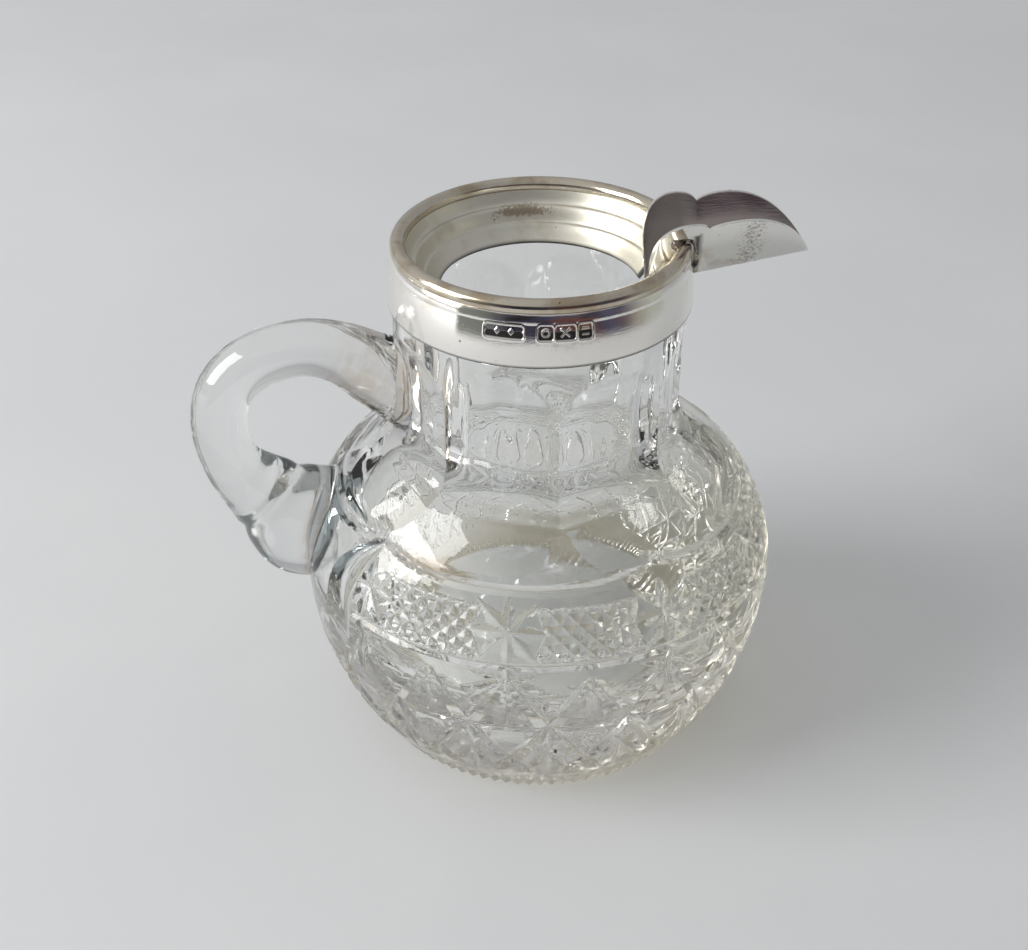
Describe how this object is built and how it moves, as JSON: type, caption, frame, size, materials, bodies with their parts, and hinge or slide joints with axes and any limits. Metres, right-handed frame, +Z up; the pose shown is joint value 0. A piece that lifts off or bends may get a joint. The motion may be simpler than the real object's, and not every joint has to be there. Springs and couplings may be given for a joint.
{
  "type": "cream jug",
  "caption": "Small round-bellied cut-glass cream jug with a loop handle, a silver collar and lining, and an open pointed pouring lip.",
  "frame": {"origin": "centre of the flat base, on the surface that the jug stands on", "axes": "+Z up, +X from the jug's middle towards the pouring lip, so the handle is towards -X"},
  "size_m": [0.0997, 0.08, 0.0922],
  "materials": {
    "cut_glass": "polished, wheel cut",
    "handle_glass": "fire polished",
    "silver": "polished, lightly scratched",
    "worn_gilt_silver": "polished with brown tarnish",
    "lining_silver": "satin with brown tarnish",
    "plaster": "matt, cast in place",
    "solder": "dull, oxidised"
  },
  "bodies": {
    "root": {"glass_body": "cut_glass", "glass_handle": "handle_glass", "collar_band": "silver", "rim_wire": "worn_gilt_silver", "inner_lining": "lining_silver", "bedding_ring": "plaster", "spout_cheek_left": "silver", "spout_cheek_right": "silver", "solder_seam_left": "solder", "solder_seam_right": "solder"}
  },
  "joints": []
}
